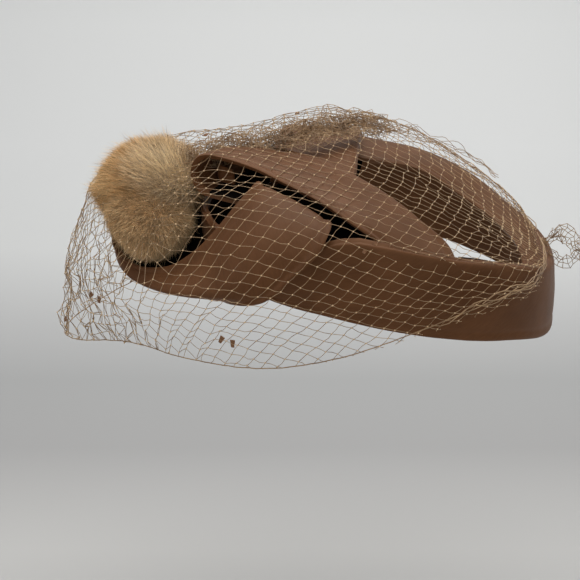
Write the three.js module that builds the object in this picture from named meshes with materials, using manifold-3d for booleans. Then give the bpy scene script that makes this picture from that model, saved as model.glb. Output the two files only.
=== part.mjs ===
// Open-crown cocktail hat: satin ribbons on a stiff rim, a fur pompom and a net veil.
// Millimetres. +Z is up, -Y is the hat's front and +X the wearer's left. The hat is as it is
// worn, tipped back, and the origin is the middle of the head opening.
import * as THREE from "three";
import Module from "manifold-3d";

const RIBBON = 2.4; // a stiffened satin ribbon, with its cover
const LINING = 1.4; // the black foundation and the inner strip
const NET = 1.2; // the outer form of the veil
const GAP = 0.35; // between pieces that lie on each other

// The rim in plan: a rounded oval, longer behind the ears than in front of them.
const SHOULDER_OVAL = { middle: 0, halfWidth: 84, back: 105, front: 80 };
const CROWN_OVAL = { middle: 18.5, halfWidth: 61, back: 87, front: 75 }; // the open crown
const RIM_SQUARENESS = 2.3;
const RIM_TURN = 4; // degrees that the back end swings to the wearer's left
const TIP_BACK = 14.5; // degrees that the rim slopes down to the back
const SHOULDER_RADIUS = 5.5; // where the wall turns over into the flat top

const SATIN = 0x5a3a2b;
const wasm = await Module();
wasm.setup();

// ---------------------------------------------------------------- tables and surfaces

// A table is a line of column names and a row of numbers for each section.
function table(columns, rows) {
  const names = columns.split(" ");
  return rows.map((row) => Object.fromEntries(names.map((name, i) => [name, row[i]])));
}

// A smooth value between the rows of a table; t runs from 0 to 1 over the rows.
function between(rows, name, t) {
  const place = Math.min(t, 1) * (rows.length - 1);
  const first = Math.min(Math.floor(place), rows.length - 2);
  const at = (i) => rows[Math.max(0, Math.min(rows.length - 1, i))][name];
  const [p0, p1, p2, p3] = [at(first - 1), at(first), at(first + 1), at(first + 2)];
  const f = place - first;
  const cubic = 3 * (p1 - p2) + p3 - p0;
  const square = 2 * p0 - 5 * p1 + 4 * p2 - p3;
  return p1 + (f * (p2 - p0 + f * (square + f * cubic))) / 2;
}

// The same round a full circle, from a column of bearings in degrees that starts at 0.
function around(rows, name, degrees) {
  const count = rows.length;
  const bearing = ((degrees % 360) + 360) % 360;
  let first = count - 1;
  while (rows[first].deg > bearing) first -= 1;
  const at = (i) => rows[(i + count) % count][name];
  const end = first + 1 < count ? rows[first + 1].deg : 360;
  const f = (bearing - rows[first].deg) / (end - rows[first].deg);
  const [p0, p1, p2, p3] = [at(first - 1), at(first), at(first + 1), at(first + 2)];
  const cubic = 3 * (p1 - p2) + p3 - p0;
  const square = 2 * p0 - 5 * p1 + 4 * p2 - p3;
  return p1 + (f * (p2 - p0 + f * (square + f * cubic))) / 2;
}

// A ribbon between its edges a and b, its middle standing proud by the column bow.
function ribbonSurface(rows) {
  return (u, v) => {
    const point = (edge) =>
      new THREE.Vector3(...["x", "y", "z"].map((axis) => between(rows, edge + axis, u)));
    const [a, b] = [point("a"), point("b")];
    const ahead = Math.min(u + 0.01, 1);
    const behind = Math.max(u - 0.01, 0);
    const middle = (t) =>
      new THREE.Vector3(
        ...["x", "y", "z"].map((axis) => between(rows, "a" + axis, t) + between(rows, "b" + axis, t)),
      );
    const along = middle(ahead).sub(middle(behind));
    const proud = b.clone().sub(a).cross(along).normalize();
    return a.lerp(b, v).addScaledVector(proud, between(rows, "bow", u) * 4 * v * (1 - v));
  };
}

// A ribbon that is folded across: a, the fold m and b are given for each section.
function foldedSurface(rows, wider = 0) {
  return (u, v) => {
    const point = (line) =>
      new THREE.Vector3(...["x", "y", "z"].map((axis) => between(rows, line + axis, u)));
    const [a, m, b] = [point("a"), point("m"), point("b")];
    a.addScaledVector(a.clone().sub(m).normalize(), wider);
    b.addScaledVector(b.clone().sub(m).normalize(), wider);
    return new THREE.CatmullRomCurve3([a, m, b]).getPoint(v);
  };
}

// A closed wall on a surface: one skin on the surface and one behind it by the thickness.
function wall(surface, { steps, across, thickness, closed = false, lift = 0 }) {
  const columns = across + 1;
  const lines = closed ? steps : steps + 1;
  const skin = [];
  for (let i = 0; i < lines; i += 1) {
    for (let j = 0; j < columns; j += 1) skin.push(surface(i / steps, j / across));
  }
  const line = (i) => (closed ? (i + lines) % lines : Math.max(0, Math.min(lines - 1, i)));
  const node = (i, j) => line(i) * columns + Math.max(0, Math.min(across, j));
  const normals = skin.map((_, index) => {
    const [i, j] = [Math.floor(index / columns), index % columns];
    const along = skin[node(i + 1, j)].clone().sub(skin[node(i - 1, j)]);
    const over = skin[node(i, j + 1)].clone().sub(skin[node(i, j - 1)]);
    return over.cross(along).normalize();
  });
  const half = skin.length;
  const points = [
    ...skin.map((p, index) => p.clone().addScaledVector(normals[index], lift)),
    ...skin.map((p, index) => p.clone().addScaledVector(normals[index], lift - thickness)),
  ];
  const faces = [];
  const quad = (a, b, c, d) => faces.push([a, b, c], [a, c, d]);
  for (let i = 0; i < (closed ? lines : lines - 1); i += 1) {
    for (let j = 0; j < across; j += 1) {
      const [a, b, c, d] = [node(i, j), node(i, j + 1), node(i + 1, j + 1), node(i + 1, j)];
      quad(a, b, c, d);
      quad(d + half, c + half, b + half, a + half);
    }
    const [near, next] = [line(i), line(i + 1)];
    quad(node(next, 0), node(next, 0) + half, node(near, 0) + half, node(near, 0));
    quad(node(near, across), node(near, across) + half, node(next, across) + half, node(next, across));
  }
  for (let j = 0; j < across && !closed; j += 1) {
    quad(node(0, j), node(0, j) + half, node(0, j + 1) + half, node(0, j + 1));
    const end = lines - 1;
    quad(node(end, j + 1), node(end, j + 1) + half, node(end, j) + half, node(end, j));
  }
  return solid(points, faces);
}

// A manifold from points and faces, turned so that its faces point out.
function solid(points, faces) {
  const volume = faces.reduce(
    (sum, [a, b, c]) => sum + points[a].dot(points[b].clone().cross(points[c])), 0,
  );
  const turned = volume > 0 ? faces : faces.map(([a, b, c]) => [a, c, b]);
  return new wasm.Manifold(new wasm.Mesh({
    numProp: 3,
    vertProperties: new Float32Array(points.flatMap((p) => p.toArray())),
    triVerts: new Uint32Array(turned.flat()),
  }));
}

// ---------------------------------------------------------------- rim

// A point of one of the rim's two ovals; 0 is the back and 90 the wearer's left.
function ovalPoint({ middle, halfWidth, back, front }, degrees) {
  const turn = THREE.MathUtils.degToRad(degrees);
  const rounded = (value) => Math.sign(value) * Math.abs(value) ** (2 / RIM_SQUARENESS);
  const length = Math.cos(turn) > 0 ? back : front;
  const place = new THREE.Vector3(
    middle + halfWidth * rounded(Math.sin(turn)), length * rounded(Math.cos(turn)), 0,
  );
  return place.applyAxisAngle(new THREE.Vector3(0, 0, 1), THREE.MathUtils.degToRad(-RIM_TURN));
}

// Height of the plane of the head opening.
const openingHeight = (y) => -y * Math.tan(THREE.MathUtils.degToRad(TIP_BACK));

// deg round the rim, then heights above the plane of the head opening: the foot of the wall,
// its shoulder, and the rolled edge where the turned-over top ends at the open crown.
const RIM = table("deg foot shoulder edge", [
  [0, -1, 36, 37],
  [20, 0, 39, 41],
  [40, 3, 43.5, 44.5],
  [60, 2.5, 44, 44],
  [87, 0.5, 43, 41.5],
  [95, 0, 35.5, 34.5],
  [104, -1, 29, 28.5],
  [120, -2, 20.8, 20.3],
  [150, 0, 18.5, 18],
  [180, 0, 20, 19.5],
  [210, 0, 19.5, 19],
  [232, 0, 25, 24],
  [245, 0, 36, 35],
  [257, 0, 44, 43],
  [272, 0, 48.5, 47],
  [287, 0, 50.5, 51.5],
  [303, 0, 46.5, 47.5],
  [320, 0, 39.5, 43.5],
  [340, -1, 36.5, 40],
]);

function rimHeights(degrees) {
  const outer = ovalPoint(SHOULDER_OVAL, degrees);
  const inner = ovalPoint(CROWN_OVAL, degrees);
  const plane = openingHeight(outer.y);
  const at = (name) => plane + around(RIM, name, degrees);
  return { outer, inner, foot: at("foot"), shoulder: at("shoulder"), edge: at("edge") };
}

function rimSurface(u, v) {
  const { outer, inner, foot, shoulder, edge } = rimHeights(360 * u);
  const top = inner.clone().sub(outer);
  const radius = Math.min(SHOULDER_RADIUS / top.length(), 0.45);
  // Each row is a share of the way in to the crown opening, and a height.
  const profile = [
    [0, foot],
    [-0.8 / top.length(), foot + (shoulder - foot) * 0.45],
    [0, shoulder - SHOULDER_RADIUS],
    [radius * 0.3, shoulder - SHOULDER_RADIUS * 0.3],
    [radius, shoulder + (edge - shoulder) * radius],
    [0.6, shoulder + (edge - shoulder) * 0.6 + 0.6],
    [1, edge],
  ];
  const [share, height] = profile[Math.round(v * (profile.length - 1))];
  return outer.addScaledVector(top, share).setZ(height);
}

function rimBand() {
  return wall(rimSurface, { steps: 64, across: 6, thickness: RIBBON, closed: true });
}

// The inner strip stands inside the wall at the left back, a little above the rolled edge.
const INNER_BAND = table("deg below above inset", [
  [12, 18, -6, 2.7],
  [26, 22, -3, 2.3],
  [40, 24, 1, 1.9],
  [50, 24, 2, 1.9],
]);

function innerBandSurface(u, v) {
  const degrees = between(INNER_BAND, "deg", u);
  const { outer, inner, edge } = rimHeights(degrees);
  const inward = inner.clone().sub(outer).normalize();
  const low = edge - between(INNER_BAND, "below", u);
  const high = edge + between(INNER_BAND, "above", u);
  const place = inner.addScaledVector(inward, between(INNER_BAND, "inset", u));
  return place.setZ(THREE.MathUtils.lerp(low, high, v));
}

// ---------------------------------------------------------------- ribbons

const STRAP_COLUMNS = "ax ay az bx by bz bow";

// Edge a is the front edge and b the back edge. It starts inside the left back of the rim,
// crosses the crown, turns over in a bow loop and comes back below itself.
const DIAGONAL_STRAP = table(STRAP_COLUMNS, [
  [81.2, 17, 29, 75.2, 51, 18.7, 0],
  [76, 11, 38, 58, 46, 30, 1],
  [72, -2, 47, 47, 32, 40, 2],
  [61, -17, 54, 34, 17, 48, 2.5],
  [48, -34, 59, 20, -1, 55, 2.5],
  [37, -51, 64, 6, -17, 58.5, 2],
  [29, -67, 67, -5, -40, 61.5, 2],
  [23, -79, 66, -10, -56, 61, 2],
  [21, -84, 57, -12, -63, 54, 1.5],
  [25, -80, 48.5, -8, -60, 47.5, 1],
  [31, -70, 46, -2, -48, 47, 0.5],
  [37, -58, 45, 6, -38, 47, 0],
]);

// Edge a is the back edge. It starts below the diagonal strap and ends on the right wall.
const CROSS_STRAP = table(STRAP_COLUMNS, [
  [30, -4, 46.8, 20, -44, 51.8, 0],
  [8, 0, 51.3, 0, -44, 55.8, 0.5],
  [-14, 1, 54.5, -18, -44, 58, 1],
  [-36, 2.5, 55.5, -38, -43, 58, 1.5],
  [-58, 3, 54, -58, -42, 56.5, 1],
  [-77, 3, 50.6, -76, -41, 52.6, 1],
  [-87.5, 2, 43, -85.5, -40, 45, 1],
  [-88, 1, 30, -86, -40, 32, 0.5],
  [-87.5, 0, 16, -85.5, -40, 18, 0.5],
]);

// Edge a is the lower edge, m the turn under the fur and b the rim of the cup. It starts with
// the end that is folded in at the top, and runs round the front to the right.
const SCOOP_LOOP = table("ax ay az mx my mz bx by bz", [
  [66, -17, 41, 53, -35, 47, 39, -53, 50],
  [71, -12, 47.5, 57, -30, 54, 42, -49, 58.5],
  [81, -13, 45, 68, -37, 49, 49, -58, 50.5],
  [88.5, -19, 36, 77, -45, 39, 54.5, -67.5, 40],
  [91, -31, 25, 82, -54, 27, 55, -76, 30.5],
  [89, -44, 13.5, 81, -65, 17, 52, -84, 23],
  [80, -58, 9, 76, -76, 12, 49, -93, 17],
  [64, -69, 14, 67, -90, 10.5, 45, -104, 13.5],
  [48, -79, 21, 53, -105, 9.5, 39, -113, 12.5],
  [33, -84, 26, 39, -117, 10, 31, -121, 15.5],
  [16, -86, 29, 20, -123, 11, 19, -126, 20],
  [-2, -87, 30, -4, -124, 12, -2, -128, 22],
  [-21, -85, 28, -27, -117, 13, -27, -121, 22.5],
  [-40, -79, 25, -48, -101, 16, -49, -104, 25],
  [-56, -71, 23, -65, -82, 22, -65, -85, 33],
  [-68, -60, 22, -77, -65, 29, -78, -67, 42],
]);

// The pleat inside the bow loop.
const INNER_LOOP = table(STRAP_COLUMNS, [
  [20, -62, 49.8, 20, -63, 58, 0],
  [15, -70, 49.8, 14, -70, 59.5, 1],
  [6, -68, 50.1, 5, -67, 59, 1],
  [2, -58, 50.1, 2, -58, 57, 0],
]);

// Edge a is at the wearer's left and b at the right, from the front of the rim to the back.
const FOUNDATION = table("ax ay az mx my mz bx by bz", [
  [28, -70, 32, 0, -72, 32, -26, -63, 29],
  [52, -56, 32, 0, -56, 37.5, -42, -40, 29],
  [69, -40, 31, 4, -40, 43, -61, -26, 31],
  [78.2, -21, 32.5, 6, -24, 44.5, -75, -13, 35],
  [71, -3, 34, 14, -8, 43, -79, -4, 34],
  [66, 8, 31, 20, 0, 41, -79, 4, 33],
]);

const strap = (rows, steps) =>
  wall(ribbonSurface(rows), { steps, across: 4, thickness: RIBBON });

const scoop = ({ lift, wider }) => wall(foldedSurface(SCOOP_LOOP, wider),
  { steps: 45, across: 6, thickness: RIBBON + 2 * lift, lift });

// ---------------------------------------------------------------- fur and veil

// The two lobes of the pompom: the middle and the half-sizes of each.
const UPPER_LOBE = { middle: [5, -110, 50], half: [30, 28, 19] };
const LOWER_LOBE = { middle: [14, -108, 33], half: [28, 23, 18] };

function lobe({ middle, half }, grow = 0) {
  const ball = new THREE.SphereGeometry(1, 24, 14);
  ball.scale(half[0] + grow, half[1] + grow, half[2] + grow);
  ball.translate(...middle);
  return fromGeometry(ball);
}

function fromGeometry(geometry) {
  const at = geometry.attributes.position;
  const found = new Map();
  const points = [];
  const merged = [];
  for (let i = 0; i < at.count; i += 1) {
    const point = new THREE.Vector3().fromBufferAttribute(at, i);
    const key = point.toArray().map((value) => value.toFixed(4)).join(" ");
    if (!found.has(key)) {
      found.set(key, points.length);
      points.push(point);
    }
    merged.push(found.get(key));
  }
  const order = [...geometry.index.array].map((i) => merged[i]);
  const faces = [];
  for (let i = 0; i < order.length; i += 3) {
    const face = order.slice(i, i + 3);
    if (new Set(face).size === 3) faces.push(face);
  }
  return solid(points, faces);
}

// The veil round its crown point: how far out and how high it lies at its shoulder, at its
// waist and at its lower edge. It is gathered at the back and hangs free in front.
const VEIL_CROWN = new THREE.Vector3(0, -25, 77);
const VEIL = table("deg shoulder shoulderZ waist waistZ edge edgeZ", [
  [0, 90, 44, 113, 26, 121, 17],
  [14, 90, 46, 117, 27, 126, 15],
  [28, 90, 49, 119, 29, 128, 12],
  [43, 88, 53, 113, 33, 120, 10],
  [60, 85, 56, 101, 36, 106, -1],
  [78, 82, 59, 96, 38, 99, -11],
  [100, 80, 64, 99, 38, 97, -18],
  [125, 84, 66, 105, 28, 98, -20],
  [150, 96, 66, 116, 22, 105, -23],
  [180, 106, 66, 127, 12, 133, -38],
  [210, 96, 66, 116, 22, 106, -26],
  [235, 84, 66, 106, 28, 100, -20],
  [260, 82, 68, 101, 40, 100, -14],
  [282, 84, 67, 100, 46, 103, -8],
  [300, 88, 62, 106, 42, 108, -1],
  [317, 90, 57, 113, 36, 117, 7],
  [333, 90, 50, 117, 30, 125, 11],
  [348, 90, 46, 116, 28, 125, 14],
]);

function veilSurface(u, v) {
  const degrees = 360 * u;
  const out = new THREE.Vector2(Math.sin(THREE.MathUtils.degToRad(degrees)),
    Math.cos(THREE.MathUtils.degToRad(degrees)));
  const at = (name) => around(VEIL, name, degrees);
  const curve = new THREE.CatmullRomCurve3([
    new THREE.Vector3(2, 0, VEIL_CROWN.z),
    new THREE.Vector3(at("shoulder") * 0.55, 0, at("shoulderZ") * 0.4 + VEIL_CROWN.z * 0.6),
    new THREE.Vector3(at("shoulder"), 0, at("shoulderZ")),
    new THREE.Vector3(at("waist"), 0, at("waistZ")),
    new THREE.Vector3(at("edge"), 0, at("edgeZ")),
  ]);
  const place = curve.getPoint(v);
  return new THREE.Vector3(
    VEIL_CROWN.x + out.x * place.x, VEIL_CROWN.y + out.y * place.x, place.z,
  );
}

// The gather at the back end of the veil: a knot, and tails that flare out behind it.
const GATHER_START = new THREE.Vector3(9, 97.4, 13.3);
const GATHER_RISE = 15; // degrees
const GATHER = table("along halfWidth halfHeight", [
  [0, 2.2, 1.8],
  [1.5, 3.8, 3],
  [4, 4.2, 3.4],
  [6.5, 3, 2.6],
  [11, 4.2, 5],
  [18, 6, 9.5],
  [25, 6.5, 11.5],
]);

function gather(sides) {
  const points = [];
  const faces = [];
  const tilt = THREE.MathUtils.degToRad(GATHER_RISE);
  GATHER.forEach(({ along, halfWidth, halfHeight }) => {
    for (let k = 0; k < sides; k += 1) {
      const turn = (2 * Math.PI * k) / sides;
      const place = new THREE.Vector3(
        halfWidth * Math.cos(turn), along, halfHeight * Math.sin(turn),
      );
      points.push(place.applyAxisAngle(new THREE.Vector3(1, 0, 0), tilt).add(GATHER_START));
    }
  });
  for (let i = 0; i + 1 < GATHER.length; i += 1) {
    for (let k = 0; k < sides; k += 1) {
      const [a, b] = [i * sides + k, i * sides + ((k + 1) % sides)];
      faces.push([a, b, b + sides], [a, b + sides, a + sides]);
    }
  }
  const last = (GATHER.length - 1) * sides;
  for (let k = 1; k + 1 < sides; k += 1) {
    faces.push([0, k + 1, k], [last, last + k, last + k + 1]);
  }
  return solid(points, faces);
}

// ---------------------------------------------------------------- assembly

const object = new THREE.Group();

function add(name, shape, colour, roughness) {
  const { vertProperties, triVerts } = shape.getMesh();
  const geometry = new THREE.BufferGeometry();
  geometry.setAttribute("position", new THREE.BufferAttribute(vertProperties, 3));
  geometry.setIndex(new THREE.BufferAttribute(triVerts, 1));
  geometry.computeVertexNormals();
  const material = new THREE.MeshStandardMaterial({ color: colour, roughness, metalness: 0 });
  const mesh = new THREE.Mesh(geometry, material);
  mesh.name = name;
  object.add(mesh);
}

add("rim_band", rimBand(), SATIN, 0.5);
add("inner_band", wall(innerBandSurface, { steps: 14, across: 2, thickness: LINING }), 0x3c2418, 0.6);
add("diagonal_strap", strap(DIAGONAL_STRAP, 33), SATIN, 0.5);
add("cross_strap", strap(CROSS_STRAP, 24), SATIN, 0.5);
add("scoop_loop", scoop({ lift: 0, wider: 0 }), SATIN, 0.5);
add("inner_loop", wall(ribbonSurface(INNER_LOOP), { steps: 9, across: 2, thickness: LINING }), SATIN, 0.5);
add("front_foundation",
  wall(foldedSurface(FOUNDATION), { steps: 15, across: 8, thickness: LINING }), 0x0b0908, 0.9);
add("fur_upper_lobe", lobe(UPPER_LOBE), 0x9a7650, 1);
add("fur_lower_lobe",
  lobe(LOWER_LOBE).subtract(lobe(UPPER_LOBE, GAP))
    .subtract(scoop({ lift: 2 * GAP, wider: 0 })).subtract(scoop({ lift: 2 * GAP, wider: 5 }))
    .decompose().reduce((best, one) => (one.volume() > best.volume() ? one : best)), 0x9a7650, 1);
add("veil", wall(veilSurface, { steps: 46, across: 14, thickness: NET, closed: true }), 0xa9875a, 0.8);
add("veil_gather", gather(12), 0x9b7a4f, 1);

export default object;
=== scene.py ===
"""A brown satin fascinator with a fur pompom and a fishnet veil, put together on its frame."""
import math
import random

import bmesh
import bpy
from mathutils import Matrix, Vector, noise
from mathutils.bvhtree import BVHTree
from mathutils.kdtree import KDTree


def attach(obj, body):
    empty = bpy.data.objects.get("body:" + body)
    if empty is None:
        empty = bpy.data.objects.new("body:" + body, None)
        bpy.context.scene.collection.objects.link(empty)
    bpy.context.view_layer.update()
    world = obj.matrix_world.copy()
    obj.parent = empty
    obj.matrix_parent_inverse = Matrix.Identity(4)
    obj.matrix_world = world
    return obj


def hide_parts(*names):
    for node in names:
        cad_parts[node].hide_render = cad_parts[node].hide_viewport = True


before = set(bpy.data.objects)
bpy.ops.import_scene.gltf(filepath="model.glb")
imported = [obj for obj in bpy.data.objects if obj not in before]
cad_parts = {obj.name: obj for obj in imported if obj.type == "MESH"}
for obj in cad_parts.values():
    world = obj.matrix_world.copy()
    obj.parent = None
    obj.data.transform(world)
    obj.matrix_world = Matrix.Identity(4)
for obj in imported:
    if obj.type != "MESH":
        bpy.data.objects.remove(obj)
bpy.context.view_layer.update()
MM = 0.001


# ------------------------------------------------------------------ the display and its light
# The hat hangs at the height of a head above pale paper. One wide soft box is overhead and a
# little behind. Weaker ones stand at the front left, the back right and beside the camera, and
# one lights the paper behind. The room itself is pale.
scene = bpy.context.scene
scene.view_settings.view_transform = "Standard"

camera = bpy.data.objects.new("camera", bpy.data.cameras.new("camera"))
scene.collection.objects.link(camera)
camera.location = (0.7469, 0.0, 0.2867)
camera.rotation_euler = (-Vector(camera.location)).to_track_quat("-Z", "Y").to_euler()
camera.data.lens = 92.9
camera.data.sensor_width = 36.0
camera.data.shift_x = -0.114
camera.data.shift_y = -0.048
camera.data.clip_start = 0.01
scene.camera = camera

LAMPS = [
    # name, place, aim, size, power, colour
    ("overhead", (-0.20, -0.05, 0.95), (0, 0, 0.03), 1.2, 8.2, (1.0, 0.985, 0.96)),
    ("front_left", (0.35, -0.95, 0.55), (0, 0, 0.03), 0.6, 1.1, (1.0, 0.97, 0.94)),
    ("back_right", (-0.30, 0.80, 0.65), (0, 0, 0.03), 0.6, 1.6, (1.0, 0.97, 0.92)),
    ("near_fill", (1.15, 0.35, 0.35), (0, 0, 0.03), 0.8, 2.0, (1.0, 0.98, 0.96)),
    ("backdrop", (-0.80, 0, 0.85), (-1.45, 0, -0.10), 1.4, 4.2, (1.0, 1.0, 1.0)),
]
for name, place, aim, size, power, colour in LAMPS:
    lamp = bpy.data.lights.new(name, "AREA")
    lamp.shape, lamp.size, lamp.energy, lamp.color = "DISK", size, power, colour
    stand = bpy.data.objects.new(name, lamp)
    stand.location = place
    stand.rotation_euler = (Vector(aim) - Vector(place)).to_track_quat("-Z", "Y").to_euler()
    scene.collection.objects.link(stand)

world = bpy.data.worlds.new("pale_room")
world.use_nodes = True
world.node_tree.nodes["Background"].inputs["Color"].default_value = (0.66, 0.665, 0.68, 1)
world.node_tree.nodes["Background"].inputs["Strength"].default_value = 0.42
scene.world = world

# The paper runs along the floor and curves up behind the hat. All its sizes are in metres.
FLOOR = -0.24
BEND_START, BEND_LENGTH, BEND_STEEPNESS = 0.9, 1.2, 0.55
sweep = bmesh.new()
bmesh.ops.create_grid(sweep, x_segments=1, y_segments=40, size=3.0)
for vert in sweep.verts:
    back = -vert.co.y
    beyond = max(0.0, back - BEND_START)
    bent = min(beyond, BEND_LENGTH)
    rise = BEND_STEEPNESS * (bent ** 2 + 2 * BEND_LENGTH * (beyond - bent))
    vert.co = Vector((-back, vert.co.x * 1.6, FLOOR + rise))
bmesh.ops.recalc_face_normals(sweep, faces=sweep.faces)
floor_mesh = bpy.data.meshes.new("paper_sweep")
sweep.to_mesh(floor_mesh)
sweep.free()
floor_mesh.shade_smooth()
floor = bpy.data.objects.new("paper_sweep", floor_mesh)
scene.collection.objects.link(floor)


def connect(owner, socket, value):
    """Give a socket of a material or a node group a value, or the output of another node."""
    if isinstance(value, bpy.types.NodeSocket):
        getattr(owner, "node_tree", owner).links.new(value, socket)
    else:
        socket.default_value = value


def node(owner, kind, **inputs):
    made = getattr(owner, "node_tree", owner).nodes.new(kind)
    for name, value in inputs.items():
        connect(owner, made.inputs[name.replace("_", " ")], value)
    return made


def ramp(material, value, stops):
    made = node(material, "ShaderNodeValToRGB", Fac=value)
    for place, colour in stops[2:]:
        made.color_ramp.elements.new(place)
    for stop, (place, colour) in zip(made.color_ramp.elements, stops):
        stop.position, stop.color = place, (*colour, 1)
    return made.outputs["Color"]


def new_material(name):
    material = bpy.data.materials.new(name)
    material.use_nodes = True
    return material


def finish(material, **inputs):
    """Set how a material's surface looks: its colour, its bumps and its shine."""
    surface = material.node_tree.nodes["Principled BSDF"]
    for name, value in inputs.items():
        connect(material, surface.inputs[name.replace("_", " ")], value)


def place_on(material):
    """Places on a piece, for a pattern that is fixed to it."""
    return node(material, "ShaderNodeTexCoord").outputs["Object"]


# The paper is painted darker below the hat, a painted shadow where it lies in the shade, and painted paler
# towards its back, as painted light.
paper = new_material("pale_paper")
floor_mesh.materials.append(paper)
paper_at = node(paper, "ShaderNodeSeparateXYZ", Vector=place_on(paper))
paper_back = node(paper, "ShaderNodeMath", Value=paper_at.outputs["X"])
paper_back.operation = "MULTIPLY"
paper_back.inputs[1].default_value = -0.5
paper_painted_shade_and_light = ramp(paper, paper_back.outputs["Value"], [
    (0.05, (0.56, 0.56, 0.55)), (0.12, (0.40, 0.40, 0.40)), (0.18, (0.40, 0.405, 0.405)),
    (0.24, (0.50, 0.505, 0.505)), (0.33, (0.68, 0.69, 0.685)), (0.5, (0.82, 0.83, 0.825)),
    (0.65, (0.90, 0.91, 0.90))])
finish(paper, Base_Color=paper_painted_shade_and_light, Roughness=0.9)


# ------------------------------------------------------------------ brown satin
# The bands are ribbons of brown duchesse satin over stiffened cloth. The satin has a fine
# diagonal rib, a soft sheen, and a rolled hem along both edges.
satin = new_material("brown_satin")


def mixed(material, share, under, over, blend="MIX"):
    """One colour laid over another."""
    made = material.node_tree.nodes.new("ShaderNodeMix")
    made.data_type, made.blend_type = "RGBA", blend
    for socket, value in zip((0, 6, 7), (share, under, over)):
        connect(material, made.inputs[socket], value)
    return made.outputs[2]


cloth_uv = node(satin, "ShaderNodeUVMap")
cloth_uv.uv_map = "ribbon"
rib_turn = node(satin, "ShaderNodeMapping", Vector=cloth_uv.outputs["UV"], Rotation=(0, 0, 0.62))
ribs = node(satin, "ShaderNodeTexWave", Vector=rib_turn.outputs["Vector"], Scale=420.0,
            Distortion=1.2, Detail=2.0, Detail_Scale=1.5)
slub_stretch = node(satin, "ShaderNodeMapping", Vector=rib_turn.outputs["Vector"],
                    Scale=(0.18, 1.0, 1.0))
slubs = node(satin, "ShaderNodeTexNoise", Vector=slub_stretch.outputs["Vector"], Scale=900.0,
             Detail=3.0)
shade_noise = node(satin, "ShaderNodeTexNoise", Vector=place_on(satin), Scale=38.0, Detail=4.0)
satin_tone = ramp(satin, shade_noise.outputs["Fac"], [
    (0.30, (0.112, 0.045, 0.017)), (0.72, (0.168, 0.070, 0.028))])
weave_tone = ramp(satin, slubs.outputs["Fac"], [
    (0.25, (0.80, 0.79, 0.78)), (0.8, (1.12, 1.12, 1.12))])
rib_bump = node(satin, "ShaderNodeBump", Height=ribs.outputs["Fac"], Strength=0.35, Distance=0.00012)
slub_bump = node(satin, "ShaderNodeBump", Height=slubs.outputs["Fac"], Strength=0.3,
                 Distance=0.00015, Normal=rib_bump.outputs["Normal"])
finish(satin, Base_Color=mixed(satin, 0.8, satin_tone, weave_tone, "MULTIPLY"),
       Normal=slub_bump.outputs["Normal"], Roughness=0.47, Specular_IOR_Level=0.28,
       Specular_Tint=(1.0, 0.74, 0.55, 1), Sheen_Weight=0.07, Sheen_Roughness=0.4,
       Sheen_Tint=(0.95, 0.62, 0.46, 1))


# ------------------------------------------------------------------ rim band
# The rim is a stiffened oval band. Its wall stands round the head and is turned over into a
# flat top, narrow at the wearer's left and wide at the right, with a rolled inner edge.
SHOULDER_OVAL = {"middle": 0.0, "half": 84.0, "back": 105.0, "front": 80.0}
CROWN_OVAL = {"middle": 18.5, "half": 61.0, "back": 87.0, "front": 75.0}
OVAL_TURN = Matrix.Rotation(math.radians(-4), 3, "Z")
OVAL_POWER = 2.3  # 2 is an ellipse, and more is squarer
FRONT_RISE = math.tan(math.radians(14.5))  # the head opening is tilted up to the front
TURN_OVER = 5.5  # mm, the radius where the wall turns over into the top
HOLLOW = 0.8  # mm, how far the wall sinks in and the top swells between their edges
RIM_ROWS = [
    # bearing, foot, shoulder, crown edge: heights over the plane of the head opening
    (0, -1, 36, 37), (20, 0, 39, 41), (40, 3, 43.5, 44.5), (60, 2.5, 44, 44),
    (87, 0.5, 43, 41.5), (95, 0, 35.5, 34.5), (104, -1, 29, 28.5), (120, -2, 20.8, 20.3),
    (150, 0, 18.5, 18), (180, 0, 20, 19.5), (210, 0, 19.5, 19), (232, 0, 25, 24),
    (245, 0, 36, 35), (257, 0, 44, 43), (272, 0, 48.5, 47), (287, 0, 50.5, 51.5),
    (303, 0, 46.5, 47.5), (320, 0, 39.5, 43.5), (340, -1, 36.5, 40),
]


def smooth_value(p0, p1, p2, p3, f):
    """A value on the smooth curve from p1 to p2, at a share f of the way."""
    cubic, square = 3 * (p1 - p2) + p3 - p0, 2 * p0 - 5 * p1 + 4 * p2 - p3
    return p1 + f * (p2 - p0 + f * (square + f * cubic)) / 2


def round_rows(rows, bearing):
    """The row of a table round the hat at a bearing."""
    bearing %= 360
    first = max(i for i, row in enumerate(rows) if row[0] <= bearing)
    far = rows[first + 1][0] if first + 1 < len(rows) else 360
    f = (bearing - rows[first][0]) / (far - rows[first][0])
    near = [rows[(first + i) % len(rows)] for i in (-1, 0, 1, 2)]
    return [smooth_value(*(row[k] for row in near), f) for k in range(1, len(rows[0]))]


def oval_point(oval, bearing):
    turn = math.radians(bearing)
    share = [math.copysign(abs(c) ** (2 / OVAL_POWER), c) for c in (math.sin(turn), math.cos(turn))]
    length = oval["back"] if math.cos(turn) > 0 else oval["front"]
    return OVAL_TURN @ Vector((oval["middle"] + oval["half"] * share[0], length * share[1], 0))


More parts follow.
